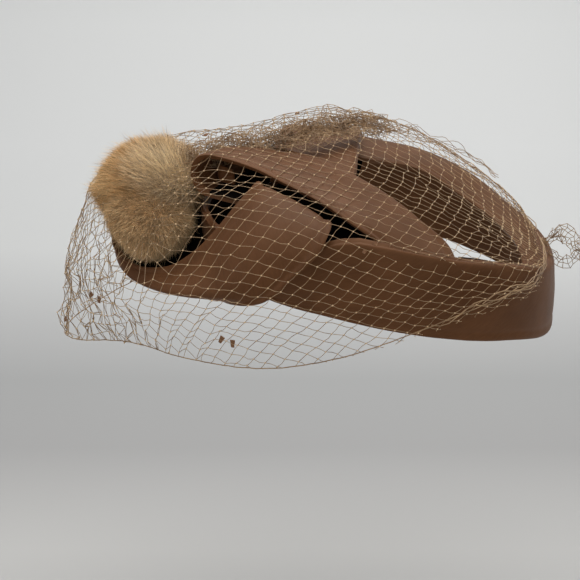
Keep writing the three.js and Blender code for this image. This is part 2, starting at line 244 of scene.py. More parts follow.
def rim_place(u, v):
    """A place on the rim: u runs round the head, and v up the wall and in over the top."""
    bearing = 360 * u
    foot, shoulder, edge = round_rows(RIM_ROWS, bearing)
    outer, inner = oval_point(SHOULDER_OVAL, bearing), oval_point(CROWN_OVAL, bearing)
    top = (inner - outer).length
    turn_over = min(TURN_OVER, 0.45 * top)
    wall = shoulder - turn_over - foot
    corner = turn_over * math.pi / 2
    along = v * (wall + corner + top - turn_over)
    if along < wall:
        inset, height = -HOLLOW * math.sin(math.pi * along / wall), foot + along
    elif along < wall + corner:
        swing = (along - wall) / turn_over
        inset = turn_over * (1 - math.cos(swing))
        height = shoulder - turn_over * (1 - math.sin(swing))
    else:
        inset = turn_over + along - wall - corner
        share = (inset - turn_over) / (top - turn_over)
        height = shoulder + (edge - shoulder) * share + HOLLOW * math.sin(math.pi * share)
    place = outer + (inner - outer).normalized() * inset
    place.z = height - outer.y * FRONT_RISE
    return place * MM


HEM = [
    # mm high, how far in from the edge, how wide: the rolled hem, then the dip beside it
    (0.8, 1.6, 1.4), (-0.45, 4.8, 1.3),
]


def satin_band(name, place, steps, across, size, thickness=2.4, hems=(1, 1), pucker=0.25):
    """A ribbon laid on a surface, place(u, v), with its hems rolled and its cloth a little uneven."""
    length, width = size
    cloth = bmesh.new()
    bmesh.ops.create_grid(cloth, x_segments=steps, y_segments=across, size=1, calc_uvs=True)
    cloth_uv = cloth.loops.layers.uv.verify()
    share = {v: ((1 - v.co.x) / 2, (v.co.y + 1) / 2) for v in cloth.verts}
    for face in cloth.faces:
        for loop in face.loops:
            u, v = share[loop.vert]
            loop[cloth_uv].uv = (u * length, v * width)
    for vert, (u, v) in share.items():
        vert.co = place(u, v)
    cloth.normal_update()
    for vert, (u, v) in share.items():
        lift = pucker * (noise.noise(vert.co * 55) + 0.4 * noise.noise(vert.co * 160))
        for hem, distance in zip(hems, (v * width, (1 - v) * width)):
            lift += hem * sum(high * math.exp(-((distance / MM - inward) / wide) ** 2)
                              for high, inward, wide in HEM)
        vert.co += vert.normal * lift * MM
    bmesh.ops.remove_doubles(cloth, verts=cloth.verts, dist=0.00002)
    mesh = bpy.data.meshes.new(name)
    cloth.to_mesh(mesh)
    cloth.free()
    mesh.uv_layers[0].name = "ribbon"
    mesh.shade_smooth()
    mesh.materials.append(satin)
    piece = bpy.data.objects.new(name, mesh)
    scene.collection.objects.link(piece)
    wall = piece.modifiers.new("stiffening", "SOLIDIFY")
    wall.thickness, wall.offset = thickness * MM, -1
    roll = piece.modifiers.new("rolled_edges", "BEVEL")
    roll.width, roll.segments, roll.limit_method = 0.42 * thickness * MM, 3, "ANGLE"
    roll.angle_limit = math.radians(55)
    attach(piece, "root")
    return piece


rim = satin_band("rim_satin", rim_place, 240, 60, (0.595, 0.062), hems=(0.5, 1.2), pucker=0.3)
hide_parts("rim_band")


# ------------------------------------------------------------------ diagonal strap
# A ribbon from inside the near back of the rim runs over the open crown to the front. There it
# turns under in a bow loop, and its end is sewn down below the near end of the cross strap.
DIAGONAL_ROWS = [
    # back edge x y z, front edge x y z, camber
    (81.2, 17, 29, 75.2, 51, 18.7, 0), (76, 11, 38, 58, 46, 30, 1),
    (72, -2, 47, 47, 32, 40, 2), (61, -17, 54, 34, 17, 48, 2.5),
    (48, -34, 59, 20, -1, 55, 2.5), (37, -51, 64, 6, -17, 58.5, 2),
    (29, -67, 67, -5, -40, 61.5, 2), (23, -79, 66, -10, -56, 61, 2),
    (21, -84, 57, -12, -63, 54, 1.5), (25, -80, 48.5, -8, -60, 47.5, 1),
    (31, -70, 46, -2, -48, 47, 0.5), (37, -58, 45, 6, -38, 47, 0),
]


def along_rows(rows, t):
    """The row of a table along a ribbon, at a share of its length."""
    place = min(max(t, 0), 1) * (len(rows) - 1)
    first = min(int(place), len(rows) - 2)
    near = [rows[max(0, min(len(rows) - 1, first + i))] for i in (-1, 0, 1, 2)]
    return [smooth_value(*(row[k] for row in near), place - first) for k in range(len(rows[0]))]


def strap_place(rows):
    """The surface between a ribbon's two edges, arched by its camber."""
    def place(u, v):
        row = along_rows(rows, u)
        back_edge, front_edge = Vector(row[0:3]), Vector(row[3:6])
        ahead, behind = along_rows(rows, u + 0.01), along_rows(rows, u - 0.01)
        along = (Vector(ahead[0:3]) + Vector(ahead[3:6])) - (Vector(behind[0:3]) + Vector(behind[3:6]))
        proud = (front_edge - back_edge).cross(along).normalized()
        return (back_edge.lerp(front_edge, v) + proud * row[6] * 4 * v * (1 - v)) * MM
    return place


diagonal = satin_band("diagonal_satin", strap_place(DIAGONAL_ROWS), 150, 40, (0.215, 0.044))
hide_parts("diagonal_strap")


# ------------------------------------------------------------------ cross strap
# A second ribbon crosses below the diagonal one, lies over the right side of the rim and is
# sewn down outside it.
CROSS_ROWS = [
    # back edge x y z, front edge x y z, camber
    (30, -4, 46.8, 20, -44, 51.8, 0), (8, 0, 51.3, 0, -44, 55.8, 0.5),
    (-14, 1, 54.5, -18, -44, 58, 1), (-36, 2.5, 55.5, -38, -43, 58, 1.5),
    (-58, 3, 54, -58, -42, 56.5, 1), (-77, 3, 50.6, -76, -41, 52.6, 1),
    (-87.5, 2, 43, -85.5, -40, 45, 1), (-88, 1, 30, -86, -40, 32, 0.5),
    (-87.5, 0, 16, -85.5, -40, 18, 0.5),
]
cross = satin_band("cross_satin", strap_place(CROSS_ROWS), 110, 40, (0.147, 0.043), hems=(0.9, 0.9))
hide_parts("cross_strap")


# ------------------------------------------------------------------ scoop loop
# A wide ribbon is folded in at its top end, hangs outside the near front of the rim, and
# sweeps under the pompom as a cup, up to the front right of the rim.
SCOOP_ROWS = [
    # lower edge x y z, turn x y z, rim of the cup x y z
    (66, -17, 41, 53, -35, 47, 39, -53, 50), (71, -12, 47.5, 57, -30, 54, 42, -49, 58.5),
    (81, -13, 45, 68, -37, 49, 49, -58, 50.5), (88.5, -19, 36, 77, -45, 39, 54.5, -67.5, 40),
    (91, -31, 25, 82, -54, 27, 55, -76, 30.5), (89, -44, 13.5, 81, -65, 17, 52, -84, 23),
    (80, -58, 9, 76, -76, 12, 49, -93, 17), (62, -71, 7, 67, -90, 8.5, 45, -104, 14.5),
    (47, -83, 6, 53, -105, 7, 39, -113, 14), (33, -88, 10, 39, -117, 8.5, 31, -121, 16.5),
    (16, -90, 15, 20, -123, 10.5, 19, -126, 20), (-2, -90, 19, -4, -124, 12, -2, -128, 22),
    (-21, -88, 20, -27, -117, 13, -27, -121, 22.5), (-40, -80, 22, -48, -101, 16, -49, -104, 25),
    (-56, -71, 23, -65, -82, 22, -65, -85, 33), (-68, -60, 22, -77, -65, 29, -78, -67, 42),
]


def bend_through(points, t):
    """A point on a smooth bend through a few points, at a share of their number."""
    place = min(max(t, 0), 1) * (len(points) - 1)
    first = min(int(place), len(points) - 2)
    ends = [2 * points[0] - points[1], *points, 2 * points[-1] - points[-2]]
    p0, p1, p2, p3 = ends[first:first + 4]
    d0, d1, d2 = (max((q - p).length, 1e-6) ** 0.5 for p, q in ((p0, p1), (p1, p2), (p2, p3)))
    start = ((p1 - p0) / d0 - (p2 - p0) / (d0 + d1) + (p2 - p1) / d1) * d1
    end = ((p2 - p1) / d1 - (p3 - p1) / (d1 + d2) + (p3 - p2) / d2) * d1
    f = place - first
    return (p1 + start * f + (3 * (p2 - p1) - 2 * start - end) * f ** 2
            + (2 * (p1 - p2) + start + end) * f ** 3)


def scoop_place(u, v):
    row = along_rows(SCOOP_ROWS, u)
    return bend_through([Vector(row[0:3]), Vector(row[3:6]), Vector(row[6:9])], v) * MM


scoop = satin_band("scoop_satin", scoop_place, 190, 48, (0.30, 0.050))
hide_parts("scoop_loop")


# ------------------------------------------------------------------ pleat in the bow loop
# A short end of the same satin stands upright inside the bow loop, bent round in a pleat. It is
# thinner than the bands, and is held along its lower edge.
PLEAT_ROWS = [
    # lower edge x y z, upper edge x y z, camber
    (20, -62, 49.8, 20, -63, 58, 0), (15, -70, 49.8, 14, -70, 59.5, 1),
    (6, -68, 50.1, 5, -67, 59, 1), (2, -58, 50.1, 2, -58, 57, 0),
]
pleat = satin_band("pleat_satin", strap_place(PLEAT_ROWS), 44, 16, (0.032, 0.0095),
                   thickness=1.4, hems=(0, 0.4), pucker=0.15)
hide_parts("inner_loop")


# ------------------------------------------------------------------ foundation and inner strip
# Stiffened black cloth closes the crown under the straps, and a dark brown grosgrain strip
# stands inside the left back of the rim.
# The black cloth also makes the dark sheets of painted shade inside the bow loop and the cup.
black_cloth = new_material("black_cloth")
buckram = node(black_cloth, "ShaderNodeTexVoronoi", Vector=place_on(black_cloth), Scale=900.0)
weave = buckram.outputs["Distance"]
buckram_bump = node(black_cloth, "ShaderNodeBump", Height=weave, Strength=0.4, Distance=0.0002)
black_tone = ramp(black_cloth, weave, [(0.0, (0.0035, 0.0028, 0.0025)), (1.0, (0.009, 0.007, 0.006))])
finish(black_cloth, Base_Color=black_tone, Normal=buckram_bump.outputs["Normal"], Roughness=0.95,
       Specular_IOR_Level=0.04, IOR=1.05)

grosgrain = new_material("dark_grosgrain")
strip_ribs = node(grosgrain, "ShaderNodeTexWave", Vector=place_on(grosgrain), Scale=300.0,
                  Distortion=0.6)
strip_ribs.bands_direction = "Z"
strip_bump = node(grosgrain, "ShaderNodeBump", Height=strip_ribs.outputs["Fac"], Strength=0.4,
                  Distance=0.0003)
strip_tone = ramp(grosgrain, strip_ribs.outputs["Fac"], [
    (0.0, (0.020, 0.008, 0.004)), (1.0, (0.055, 0.022, 0.010))])
finish(grosgrain, Base_Color=strip_tone, Normal=strip_bump.outputs["Normal"], Roughness=0.75)

for slot in bpy.data.objects["front_foundation"].material_slots:
    slot.material = black_cloth

STRIP_ROWS = [
    # bearing, how far below and above the rolled edge, how far inside it
    (8, 16, -4, 3.2), (14, 18, -0.5, 2.9), (26, 22, 1.4, 2.6), (40, 24, 2.2, 2.4), (52, 24, 2.2, 2.4),
]


def strip_place(u, v):
    bearing, below, above, inset = along_rows(STRIP_ROWS, u)
    outer, inner = oval_point(SHOULDER_OVAL, bearing), oval_point(CROWN_OVAL, bearing)
    edge = round_rows(RIM_ROWS, bearing)[2] - outer.y * FRONT_RISE
    place = inner + (inner - outer).normalized() * inset
    return Vector((place.x, place.y, edge - below + (below + above) * v)) * MM


strip = satin_band("inner_strip", strip_place, 60, 16, (0.06, 0.024), thickness=1.2, hems=(0.3, 0.3))
strip.data.materials[0] = grosgrain
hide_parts("inner_band")

# More of the black cloth shows at two places: its front edge is turned down behind the pompom, and its
# back edge runs under the diagonal ribbon. It also lines the bow loop and the cup, where these black
# sheets are painted shade.
BLACK_ROWS = {
    # back edge x y z, front edge x y z, camber
    "foundation_front": [
        (64, -42, 31, 68, -66, 9, 0), (56, -51, 32.5, 58, -76, 8, 0),
        (43, -58, 33.5, 46, -86, 8, 0.5), (28, -66, 33.6, 31, -90, 12, 1),
        (14, -68, 34.2, 16, -92, 17.5, 1), (0, -68, 34.6, -2, -92, 21, 1),
        (-14, -64, 33.5, -20, -90, 22.5, 1), (-26, -59, 31.5, -40, -83, 23, 0.5),
    ],
    "foundation_back": [
        (72, 15, 29.5, 72, 3, 31.5, 0), (60, 13, 32, 60, 2, 33.5, 0),
        (48, 10, 34.5, 48, -1, 36.5, 0), (36, 7, 37, 36, -3, 39, 0),
    ],
    "loop_lining": [
        (29.5, -74, 48.6, -9, -57, 51, 0), (32, -69, 47.9, -7, -50, 51, 0),
        (38, -57, 46.9, 2, -37, 51, 0),
    ],
}
for name, rows in BLACK_ROWS.items():
    black = satin_band(name, strap_place(rows), 50, 16, (0.1, 0.02), thickness=1.0, hems=(0, 0))
    black.data.materials[0] = black_cloth


def part_way(value, low, high):
    """How far a value is from low to high, from 0 to 1."""
    return min(1, max(0, (value - low) / (high - low)))


# The lining in the cup is a black sheet of painted shade, where the pompom shades the cup.
CUP_ENDS = (0.49, 0.95)  # where the lining starts and stops along the scoop
CUP_EDGES = (0.02, 0.29, 0.90)  # across it: the inner edge, the end of the floor, the top of the wall
CUP_WALL_FROM, CUP_WALL_TO = 0.60, 0.70  # where along the scoop the lining goes on up the wall
SHADE_SHEET_DEPTH = 2.8  # mm below the outer face of the ribbon


def cup_inside(u, v):
    """The floor of the cup, and further round the front also the inside of its wall."""
    u = CUP_ENDS[0] + (CUP_ENDS[1] - CUP_ENDS[0]) * u
    inner, floor_end, wall_top = CUP_EDGES
    upward = part_way(u, CUP_WALL_FROM, CUP_WALL_TO)
    v = inner + v * (floor_end - inner + (wall_top - floor_end) * upward)
    spot = scoop_place(u, v)
    along, around = scoop_place(u + 0.01, v) - spot, scoop_place(u, v + 0.02) - spot
    return spot + along.cross(around).normalized() * SHADE_SHEET_DEPTH * MM


# A black sheet inside the cup, as painted shade.
cup_lining = satin_band("cup_lining", cup_inside, 90, 20, (0.2, 0.03), thickness=0.8, hems=(0, 0))
cup_lining.data.materials[0] = black_cloth


# ------------------------------------------------------------------ fur pompom
# The pompom is two lobes of short tan fur round a padded core. The hairs fan out from the side
# next to the bow loop, darker at the root, with longer guard hairs standing out.
fur = new_material("tan_fur")


def attribute(material, name):
    made = node(material, "ShaderNodeAttribute")
    made.attribute_name = name
    return made.outputs["Fac"]


length_tone = ramp(fur, attribute(fur, "along"), [
    (0.0, (0.15, 0.075, 0.028)), (0.30, (0.58, 0.365, 0.17)), (1.0, (0.97, 0.72, 0.40))])
# Painted light: the pale attribute mixes in a paler tone, a painted highlight on top of the upper lobe and
# painted light over all of the lower lobe.
painted_light_tone = mixed(fur, attribute(fur, "pale"), length_tone, (1.0, 0.90, 0.70, 1))
shade_tone = ramp(fur, attribute(fur, "shade"), [
    (0.0, (0.30, 0.23, 0.17)), (0.35, (0.80, 0.74, 0.67)), (1.0, (1.4, 1.38, 1.3))])
finish(fur, Base_Color=mixed(fur, 1.0, painted_light_tone, shade_tone, "MULTIPLY"), Roughness=0.55,
       Specular_IOR_Level=0.15, Sheen_Weight=0.5, Sheen_Tint=(1.0, 0.84, 0.60, 1))


def hair_blade(name, segments, bend):
    """One pointed hair, a unit long, that bends over as it rises."""
    hair = bmesh.new()
    bmesh.ops.create_grid(hair, x_segments=1, y_segments=segments, size=0.5)
    along = hair.verts.layers.float.new("along")
    for vert in hair.verts:
        rise = vert.co.y + 0.5
        vert[along] = rise
        vert.co = Vector((vert.co.x * (1 - rise ** 2), bend * rise ** 2, rise * (1 - 0.3 * bend * rise)))
    bmesh.ops.remove_doubles(hair, verts=hair.verts, dist=0.0001)
    mesh = bpy.data.meshes.new(name)
    hair.to_mesh(mesh)
    hair.free()
    mesh.materials.append(fur)
    return bpy.data.objects.new(name, mesh)


def shape_group(name):
    """An empty node group, with the sockets where a shape comes in and goes out."""
    group = bpy.data.node_groups.new(name, "GeometryNodeTree")
    for way in ("INPUT", "OUTPUT"):
        group.interface.new_socket("Geometry", in_out=way, socket_type="NodeSocketGeometry")
    start, end = group.nodes.new("NodeGroupInput"), group.nodes.new("NodeGroupOutput")
    return group, start.outputs[0], end.inputs[0]


def random_vector(group, low, high, seed):
    made = group.nodes.new("FunctionNodeRandomValue")
    made.data_type = "FLOAT_VECTOR"
    for socket, value in (("Min", low), ("Max", high), ("Seed", seed)):
        made.inputs[socket].default_value = value
    return made.outputs["Value"]


STRAY = 0.28  # how far hairs stray from the way they are combed


def fur_growth(hair, density, length, width, seed):
    """Hairs scattered over a skin and laid along its comb attribute."""
    growth, skin_in, fur_out = shape_group("growth")
    scatter = node(growth, "GeometryNodeDistributePointsOnFaces", Mesh=skin_in, Density=density,
                   Seed=seed)
    comb = node(growth, "GeometryNodeInputNamedAttribute", Name="comb")
    comb.data_type = "FLOAT_VECTOR"
    lie = node(growth, "ShaderNodeVectorMath")
    connect(growth, lie.inputs[0], comb.outputs["Attribute"])
    connect(growth, lie.inputs[1], random_vector(growth, (-STRAY,) * 3, (STRAY,) * 3, seed + 1))
    point = node(growth, "FunctionNodeAlignRotationToVector", Vector=lie.outputs["Vector"])
    point.axis = "Z"
    turn = node(growth, "FunctionNodeRotateRotation", Rotation=point.outputs["Rotation"],
                Rotate_By=random_vector(growth, (0, 0, -3.1), (0, 0, 3.1), seed + 2))
    turn.rotation_space = "LOCAL"
    shortest, longest = length[0] * MM, length[1] * MM
    size = random_vector(growth, (width * MM * 0.7, shortest, shortest),
                         (width * MM * 1.3, longest, longest), seed + 3)
    one = node(growth, "GeometryNodeObjectInfo", Object=hair)
    plant = node(growth, "GeometryNodeInstanceOnPoints", Points=scatter.outputs["Points"],
                 Instance=one.outputs["Geometry"], Rotation=turn.outputs["Rotation"], Scale=size)
    tint = node(growth, "FunctionNodeRandomValue", Seed=seed + 4)
    mark = node(growth, "GeometryNodeStoreNamedAttribute", Geometry=plant.outputs["Instances"],
                Name="shade", Value=tint.outputs[1])
    mark.domain = "INSTANCE"
    realize = node(growth, "GeometryNodeRealizeInstances", Geometry=mark.outputs["Geometry"])
    connect(growth, fur_out, realize.outputs["Geometry"])
    return growth


def settled(piece):
    """Put the mesh that a piece's modifiers make in place of its own."""
    made = bpy.data.meshes.new_from_object(
        piece.evaluated_get(bpy.context.evaluated_depsgraph_get()))
    piece.modifiers.clear()
    piece.data = made
    made.name = piece.name
    return made


def drift(place, step):
    """A direction and a strength that change gently from place to place."""
    return Vector([noise.noise(place + Vector(step) * k) for k in range(3)])


LOBES = [
    # name, node, middle, half sizes, droop of the front,
    # where the hairs fan from, how far they rise, hair length, guard hairs, painted light, seed
    ("fur_upper", "fur_upper_lobe", (5, -107, 47), (26, 24, 17), 0.2,
     (14, -82, 42), 0.448, (7, 12), 3600, None, 7),
    ("fur_lower", "fur_lower_lobe", (20, -106, 31), (25, 18.5, 15.5), -0.32,
     (18, -98, 54), 0.8, (4.5, 8), 1200, 0.2, 40),
]
HAIRS = 52000  # on each lobe
HAIR_WIDTH, GUARD_WIDTH = 0.30, 0.2  # mm
GUARD_EXTRA = 5  # mm, how much longer the longest guard hairs are
# Painted highlight: the top of the upper lobe is painted paler round this place, where the overhead light
# falls on it.
PAINTED_HIGHLIGHT_SPOT, PAINTED_HIGHLIGHT_REACH = Vector((20, -93, 62)), 22  # the upper lobe is paler round this place
short_hair = hair_blade("short_hair", 2, 0.35)
long_hair = hair_blade("long_hair", 4, 0.2)
for name, replaced, middle, half, droop, fan_from, rise, length, guards, lobe_painted_light, seed in LOBES:
    skin = bmesh.new()
    bmesh.ops.create_icosphere(skin, subdivisions=5, radius=1)
    comb = skin.verts.layers.float_vector.new("comb")
    pale = skin.verts.layers.float.new("pale")
    for vert in skin.verts:
        bump = 1 + 0.05 * noise.noise(vert.co * 1.9 + Vector(middle))
        outward = Vector([vert.co[k] / half[k] for k in range(3)]).normalized()
        vert.co = Vector([middle[k] + vert.co[k] * half[k] * bump for k in range(3)])
        vert.co.z += min(0, vert.co.y - middle[1]) * droop
        fan = vert.co - Vector(fan_from)
        fan -= outward * fan.dot(outward)
        swirl = drift(vert.co * 0.09, (31, 0, 0)) * 0.55
        vert[comb] = (fan.normalized() + outward * rise + swirl).normalized()
        # Painted light: the lower lobe gets an even share, and the upper lobe a painted highlight that
        # fades out from its top.
        vert[pale] = lobe_painted_light or max(0.0, 1 - (vert.co - PAINTED_HIGHLIGHT_SPOT).length / PAINTED_HIGHLIGHT_REACH) ** 0.4
        vert.co *= MM
    mesh = bpy.data.meshes.new("skin")
    skin.to_mesh(mesh)
    skin.free()
    mesh.materials.append(fur)
    area = sum(face.area for face in mesh.polygons)
    guard_length = (length[1], length[1] + GUARD_EXTRA)
    layers = {
        name: fur_growth(short_hair, HAIRS / area, length, HAIR_WIDTH, seed),
        name + "_core": None,
        name + "_guard": fur_growth(long_hair, guards / area, guard_length, GUARD_WIDTH, 90),
    }
    for layer, growth in layers.items():
        piece = bpy.data.objects.new(layer, mesh.copy())
        scene.collection.objects.link(piece)
        if growth:
            piece.modifiers.new("growth", "NODES").node_group = growth
            settled(piece)
        else:
            piece.data.name = layer
            piece.data.shade_smooth()
        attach(piece, "root")
        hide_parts(replaced)


# ------------------------------------------------------------------ fishnet veil
# The veil is diamond fishnet of fine golden tan thread, knotted at every crossing. It is draped
# over the whole hat, bound along its lower edge, and drawn in to a gather at the back.
VEIL_CROWN = Vector((0, -25, 77))
VEIL_ROWS = [
    # bearing, then how far out and how high: shoulder, waist, edge
    (0, 90, 44, 113, 26, 121, 17), (14, 90, 46, 117, 27, 126, 15), (28, 90, 49, 119, 29, 128, 12),
    (43, 88, 53, 113, 33, 120, 10), (60, 85, 56, 101, 36, 106, -1), (78, 82, 59, 96, 38, 99, -11),
    (100, 80, 64, 99, 38, 97, -18), (125, 84, 66, 105, 28, 98, -20),
    (150, 96, 66, 116, 22, 105, -23), (180, 106, 66, 127, 12, 133, -38),
    (210, 96, 66, 116, 22, 106, -26), (235, 84, 66, 106, 28, 100, -20),
    (260, 82, 68, 101, 40, 100, -14), (282, 84, 67, 100, 46, 103, -8),
    (300, 88, 62, 106, 42, 108, -1), (317, 90, 57, 113, 36, 117, 7),
    (333, 90, 50, 117, 30, 125, 11), (348, 90, 46, 116, 28, 125, 14),
]
GATHER = Vector((9, 98, 15))
MESH_SIDE = 6.5  # mm, one side of a diamond
THREAD = 0.14  # mm, half a thread
FLAT = Vector((1, 1, 0))  # a place times this is the place seen from above


def veil_place(bearing, v):
    """A place on the drape: v is 0 at the crown and 1 at the lower edge."""
    shoulder, shoulder_z, waist, waist_z, edge, edge_z = round_rows(VEIL_ROWS, bearing)
    rib = [Vector((x, 0, z)) for x, z in (
        (2, VEIL_CROWN.z), (shoulder * 0.55, shoulder_z * 0.4 + VEIL_CROWN.z * 0.6),
        (shoulder, shoulder_z), (waist, waist_z), (edge, edge_z))]
    place = bend_through(rib, v)
    if v > 1:
        place += (rib[4] - rib[3]) * (v - 1) * 4
    turn = math.radians(bearing)
    outward = Vector((math.sin(turn), math.cos(turn), 0))
    return VEIL_CROWN * FLAT + outward * place.x + Vector((0, 0, place.z))


# The drape is a fine grid over the crown; each of its points is also laid out flat, by how far
# down the side it hangs, so that the net can be cut flat and laid on it.
RIBS, RINGS, OVERHANG = 180, 72, 1.2
drape = bmesh.new()
bmesh.ops.create_grid(drape, x_segments=RIBS, y_segments=RINGS, size=1)
drape.verts.ensure_lookup_table()
ring_share = {v.index: ((v.co.x + 1) / 2, (v.co.y + 1) / 2) for v in drape.verts}
by_rib = {}
for vert in drape.verts:
    around_share, down_share = ring_share[vert.index]
    vert.co = veil_place(360 * around_share, OVERHANG * down_share)
    by_rib.setdefault(round(around_share * RIBS), []).append((down_share, vert))
flat_places = KDTree(len(drape.verts))
for rib, ring in by_rib.items():
    turn = 2 * math.pi * rib / RIBS
    side = Vector((math.copysign((2 * math.sin(turn)) ** 2, math.sin(turn)),
                   math.copysign(math.cos(turn) ** 2, math.cos(turn)), 0)).normalized()
    hung, last = 0.0, None
    for down_share, vert in sorted(ring, key=lambda pair: pair[0]):
        if last is not None:
            hung += (vert.co - last).length
        last = vert.co.copy()
        out = (vert.co - VEIL_CROWN) * FLAT
        flat_places.insert(vert.co * FLAT + side * max(0.0, hung - out.length), vert.index)
flat_places.balance()
drape_hull = BVHTree.FromBMesh(drape)


def laid(flat):
    """Where a point of the flat net comes to lie on the drape."""
    near = flat_places.find_n(flat, 4)
    weights = [1 / (distance + 0.05) for _, _, distance in near]
    where = sum((drape.verts[index].co * w for (_, index, _), w in zip(near, weights)), Vector())
    return where / sum(weights)


NET_MESHES = 64  # each way, before the net is cut
LENGTHWISE = Vector((0.30, 0.954, 0)) * MESH_SIDE
GATHER_REACH = 150  # mm behind the crown, where the net has narrowed to the gather
SPARE_NET, BACK_END = 9, 124  # mm past the drape and mm back, where the net is cut off
CROWN_LEAN, LEFT_LEAN, RIGHT_LEAN = 80, 50, 98  # degrees from straight ahead, of crosswise threads
SIDE = 80  # mm out from the crown, where that lean has changed in full
drape.verts.ensure_lookup_table()
drape.faces.ensure_lookup_table()
net = bmesh.new()
knot = net.verts.layers.float.new("knot")
ring = net.verts.layers.float.new("ring")
bmesh.ops.create_grid(net, x_segments=NET_MESHES, y_segments=NET_MESHES, size=NET_MESHES / 2)
crosswise = {0: Vector((0, 0, 0))}  # one crosswise thread, from the crown down each side
for side in (1, -1):
    for k in range(1, NET_MESHES // 2 + 1):
        last = crosswise[side * (k - 1)]
        lean = (CROWN_LEAN + (LEFT_LEAN - CROWN_LEAN) * part_way(last.x, 0, SIDE)
                + (RIGHT_LEAN - CROWN_LEAN) * part_way(-last.x, 0, SIDE))
        step = Vector((math.sin(math.radians(lean)), -math.cos(math.radians(lean)), 0))
        crosswise[side * k] = last + side * MESH_SIDE * step
for vert in net.verts:
    flat = crosswise[round(vert.co.x)] + LENGTHWISE * round(vert.co.y) + VEIL_CROWN * FLAT
    reach = (flat.y - VEIL_CROWN.y) / GATHER_REACH
    if 0 < reach < 0.995:
        flat.x = GATHER.x + (flat.x - GATHER.x) * math.sqrt(1 - reach ** 2)
    vert.co = flat
cut_off = [v for v in net.verts if flat_places.find(v.co)[2] > SPARE_NET or v.co.y > BACK_END]
bmesh.ops.delete(net, geom=cut_off, context="VERTS")
for vert in net.verts:
    vert.co = laid(vert.co)

# The threads all have one length, so the net shears and settles over the drape. Close to the
# gather they are drawn together and keep the length they have.
SETTLING_ROUNDS, THREAD_PULL, STEP = 40, 0.7, 0.45
for _ in range(SETTLING_ROUNDS):
    moves = {vert: Vector() for vert in net.verts}
    for edge in net.edges:
        a, b = edge.verts
        gap = b.co - a.co
        loose = part_way((a.co - GATHER).length, 35, 85)
        wanted = gap.length + (MESH_SIDE - gap.length) * loose
        pull = gap * (0.5 - 0.5 * wanted / max(gap.length, 0.5)) * THREAD_PULL
        moves[a] += pull
        moves[b] -= pull
    for vert, move in moves.items():
        vert.co = drape_hull.find_nearest(vert.co + move * STEP)[0]


def ring_at(place):
    """How far down the drape a place is: 1 is the lower edge of the veil."""
    where, _, face, _ = drape_hull.find_nearest(place)
    corners = drape.faces[face].verts
    low = min(ring_share[v.index][1] for v in corners)
    top = sum((v.co for v in corners if ring_share[v.index][1] - low < 1e-4), Vector()) / 2
    foot = sum((v.co for v in corners if ring_share[v.index][1] - low > 1e-4), Vector()) / 2
    fall = foot - top
    share = min(1, max(0, (where - top).dot(fall) / fall.length_squared))
    return (low + share / RINGS) * OVERHANG


for vert in net.verts:
    vert[ring] = ring_at(vert.co)

# The net sinks until it rests on the bands and in the fur, and hangs slack between them.
worn = bpy.context.evaluated_depsgraph_get()
rests = [(BVHTree.FromObject(bpy.data.objects[name], worn), clear) for name, clear in (
    ("rim_satin", 0.7), ("diagonal_satin", 0.7), ("cross_satin", 0.7), ("scoop_satin", 0.7),
    ("fur_upper_core", 1.5), ("fur_lower_core", 1.5))]


def soft_step(value, low, high):
    share = part_way(value, low, high)
    return share * share * (3 - 2 * share)


SINK, FRONT_SINK = 5, 7  # mm, how far the net sinks, and how much more near the front
DEEPER = 0.9  # mm, how much deeper a knot may sink than the knots beside it
room = {}  # how far down each knot can sink, in mm
for vert in net.verts:
    near_or_front = max(soft_step(vert.co.x, -40, 20), soft_step(-vert.co.y, 10, 60))
    room[vert] = (SINK + FRONT_SINK * near_or_front) * soft_step(vert.co.z, -20, 50)
    for tree, clear in rests:
        touched = tree.ray_cast((vert.co + Vector((0, 0, 14))) * MM, Vector((0, 0, -1)))[0]
        if touched is not None:
            room[vert] = min(room[vert], max(-3, vert.co.z - touched.z / MM - clear))
for _ in range(30):
    evened = {}
    for vert in net.verts:
        beside = [room[edge.other_vert(vert)] for edge in vert.link_edges]
        evened[vert] = min(room[vert], sum(beside) / len(beside) + DEEPER)
    room = evened
for vert in net.verts:
    vert.co.z -= room[vert]
    hug = (soft_step(-vert.co.y, 88, 101) * soft_step(vert.co.z, 18, 30)
           * (1 - soft_step(-vert.co.y, 122, 136)) * soft_step(vert.co.x, -20, 0))
    if hug > 0:
        found = [tree.find_nearest(vert.co * MM) for tree, _ in rests[4:]]
        near = min(found, key=lambda hit: hit[3])
        vert.co = vert.co.lerp(near[0] / MM + near[1] * 1.5, hug)
bmesh.ops.delete(net, geom=net.faces[:], context="FACES_ONLY")
for edge in list(net.edges):
    a, b = edge.verts
    if (a[ring] <= 1) != (b[ring] <= 1):
        low, high = (a, b) if a[ring] > 1 else (b, a)
        share = (1 - high[ring]) / (low[ring] - high[ring])
        bound = bmesh.utils.edge_split(edge, high, share)[1]
        bound[ring] = 1.0
bmesh.ops.delete(net, geom=[v for v in net.verts if v[ring] > 1], context="VERTS")
bmesh.ops.delete(net, geom=[v for v in net.verts if not v.link_edges], context="VERTS")

for vert in net.verts:
    vert[knot] = 1.0 if vert[ring] < 0.999 else 0.4
    loose_front = part_way(-vert.co.y, 95, 140) * part_way(-vert.co.z, -30, 10)
    vert.co += drift(vert.co * 0.11, (17, 0, 0)) * (0.3 if vert[ring] > 0.999 else 1.3 + 5.0 * loose_front)
random.seed(5)
halved = bmesh.ops.subdivide_edges(net, edges=net.edges[:], cuts=1)
for vert in (item for item in halved["geom_inner"] if isinstance(item, bmesh.types.BMVert)):
    vert[knot] = 0.0
    vert.co += Vector([random.uniform(-0.45, 0.45) for _ in range(3)]) + Vector((0, 0, -0.15))

